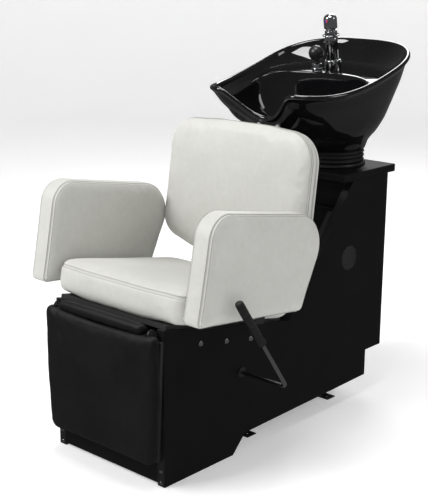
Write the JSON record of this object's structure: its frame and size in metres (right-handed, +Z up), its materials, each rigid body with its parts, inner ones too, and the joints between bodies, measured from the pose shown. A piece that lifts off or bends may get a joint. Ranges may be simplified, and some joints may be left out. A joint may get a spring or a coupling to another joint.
{
  "type": "shampoo backwash unit",
  "caption": "Salon backwash chair: padded seat with pull-out leg rest worked by a side lever, joined to a cabinet with a tilting black wash bowl, tap and hand spray.",
  "frame": {"origin": "on the floor under the middle of the plinth", "axes": "the sitter faces -Y, the bowl is at +Y, +Z up, +X is the sitter's left where the lever is"},
  "size_m": [0.727, 1.2106, 1.2136],
  "materials": {
    "laminate": "satin black laminate",
    "plywood": "plain plywood",
    "black_board": "black-stained plywood",
    "zinc": "zinc plated",
    "chrome": "polished",
    "glaze": "glossy black glaze",
    "cream_vinyl": "fine-grained vinyl",
    "black_vinyl": "fine-grained vinyl",
    "rubber": "matt",
    "black_plastic": "satin",
    "dot": "gloss",
    "frame_paint": "powder coat"
  },
  "bodies": {
    "cabinet": {"arm_bolts": "zinc", "arm_pad_left": "cream_vinyl", "arm_pad_right": "cream_vinyl", "arm_straps": "zinc", "back_board": "black_board", "back_brackets": "frame_paint", "back_cushion": "cream_vinyl", "cabinet_floor": "plywood", "cross_rails": "plywood", "floor_brackets": "zinc", "foot_ring": "black_plastic", "kick_board": "laminate", "lever_bush": "black_plastic", "mechanism_rails": "zinc", "neck_boot": "rubber", "panel_bolts": "chrome", "panel_screws": "chrome", "plinth": "laminate", "port_caps": "black_plastic", "seat_board": "black_board", "seat_cushion": "cream_vinyl", "side_panel_left": "laminate", "side_panel_right": "laminate", "tilt_bracket": "zinc", "tilt_pins": "zinc", "top_board": "laminate", "tower_back_panel": "laminate", "tower_cleats": "black_board", "tower_front_panel": "laminate", "tower_top_rail": "laminate", "upper_link_pins": "zinc"},
    "lever": {"lever_rod": "chrome", "lever_grip": "rubber", "lever_crank": "zinc"},
    "drive_rod": {"drive_rod": "zinc"},
    "upper_links": {"upper_links": "zinc", "link_cross_tube": "zinc", "flipper_board": "black_board", "flipper_pad": "black_vinyl", "lower_link_pins": "zinc"},
    "lower_links": {"lower_links": "zinc", "rest_pins": "zinc"},
    "leg_rest": {"rest_brackets": "zinc", "leg_rest_board": "black_board", "leg_rest_pad": "black_vinyl"},
    "bowl": {"bowl": "glaze", "tilt_hanger": "zinc", "drain_flange": "chrome", "waste_nut": "black_plastic", "waste_tailpiece": "chrome", "tap_body": "chrome", "tap_base_nut": "chrome", "spray_holder": "chrome", "rest_studs": "chrome"},
    "strainer": {"strainer": "chrome"},
    "spray_head": {"spray_head": "black_plastic"},
    "tap_turret": {"tap_turret": "chrome"},
    "tap_handle": {"tap_handle": "chrome", "tap_indicator": "dot"}
  },
  "joints": [
    {"name": "lever_turn", "type": "hinge", "parent": "cabinet", "child": "lever", "pos_m": [0, -0.248, 0.247], "axis": [-1, 0, 0], "range_deg": [0, 66]},
    {"name": "rod_swing", "type": "hinge", "parent": "lever", "child": "drive_rod", "pos_m": [0, -0.168, 0.211], "axis": [-1, 0, 0], "range_deg": [-66, 0]},
    {"name": "upper_link_swing", "type": "hinge", "parent": "cabinet", "child": "upper_links", "pos_m": [0, -0.578, 0.434], "axis": [-1, 0, 0], "range_deg": [0, 66]},
    {"name": "lower_link_swing", "type": "hinge", "parent": "upper_links", "child": "lower_links", "pos_m": [0, -0.546, 0.24], "axis": [-1, 0, 0], "range_deg": [-121, 0]},
    {"name": "leg_rest_swing", "type": "hinge", "parent": "lower_links", "child": "leg_rest", "pos_m": [0, -0.547, 0.392], "axis": [-1, 0, 0], "range_deg": [0, 143]},
    {"name": "bowl_tilt", "type": "hinge", "parent": "cabinet", "child": "bowl", "pos_m": [0, 0.365, 0.786], "axis": [1, 0, 0], "range_deg": [-5, 5], "deforming": ["neck_boot"]},
    {"name": "strainer_lift", "type": "slide", "parent": "bowl", "child": "strainer", "axis": [0, 0, 1], "range_m": [0, 0.02]},
    {"name": "spray_lift", "type": "slide", "parent": "bowl", "child": "spray_head", "axis": [0, -0.1564, 0.9877], "range_m": [0, 0.1]},
    {"name": "tap_turn", "type": "hinge", "parent": "bowl", "child": "tap_turret", "pos_m": [0, 0.41626, 1.16999], "axis": [0, -0.1564, 0.9877], "range_deg": [-60, 60]},
    {"name": "tap_lift", "type": "hinge", "parent": "tap_turret", "child": "tap_handle", "pos_m": [0, 0.41626, 1.16999], "axis": [-1, 0, 0], "range_deg": [0, 14]}
  ],
  "couplings": [
    {"joint": "rod_swing", "follows": "lever_turn", "ratio": -1},
    {"joint": "upper_link_swing", "follows": "lever_turn", "ratio": 1},
    {"joint": "lower_link_swing", "follows": "lever_turn", "ratio": -1.8333},
    {"joint": "leg_rest_swing", "follows": "lever_turn", "ratio": 2.1666}
  ]
}
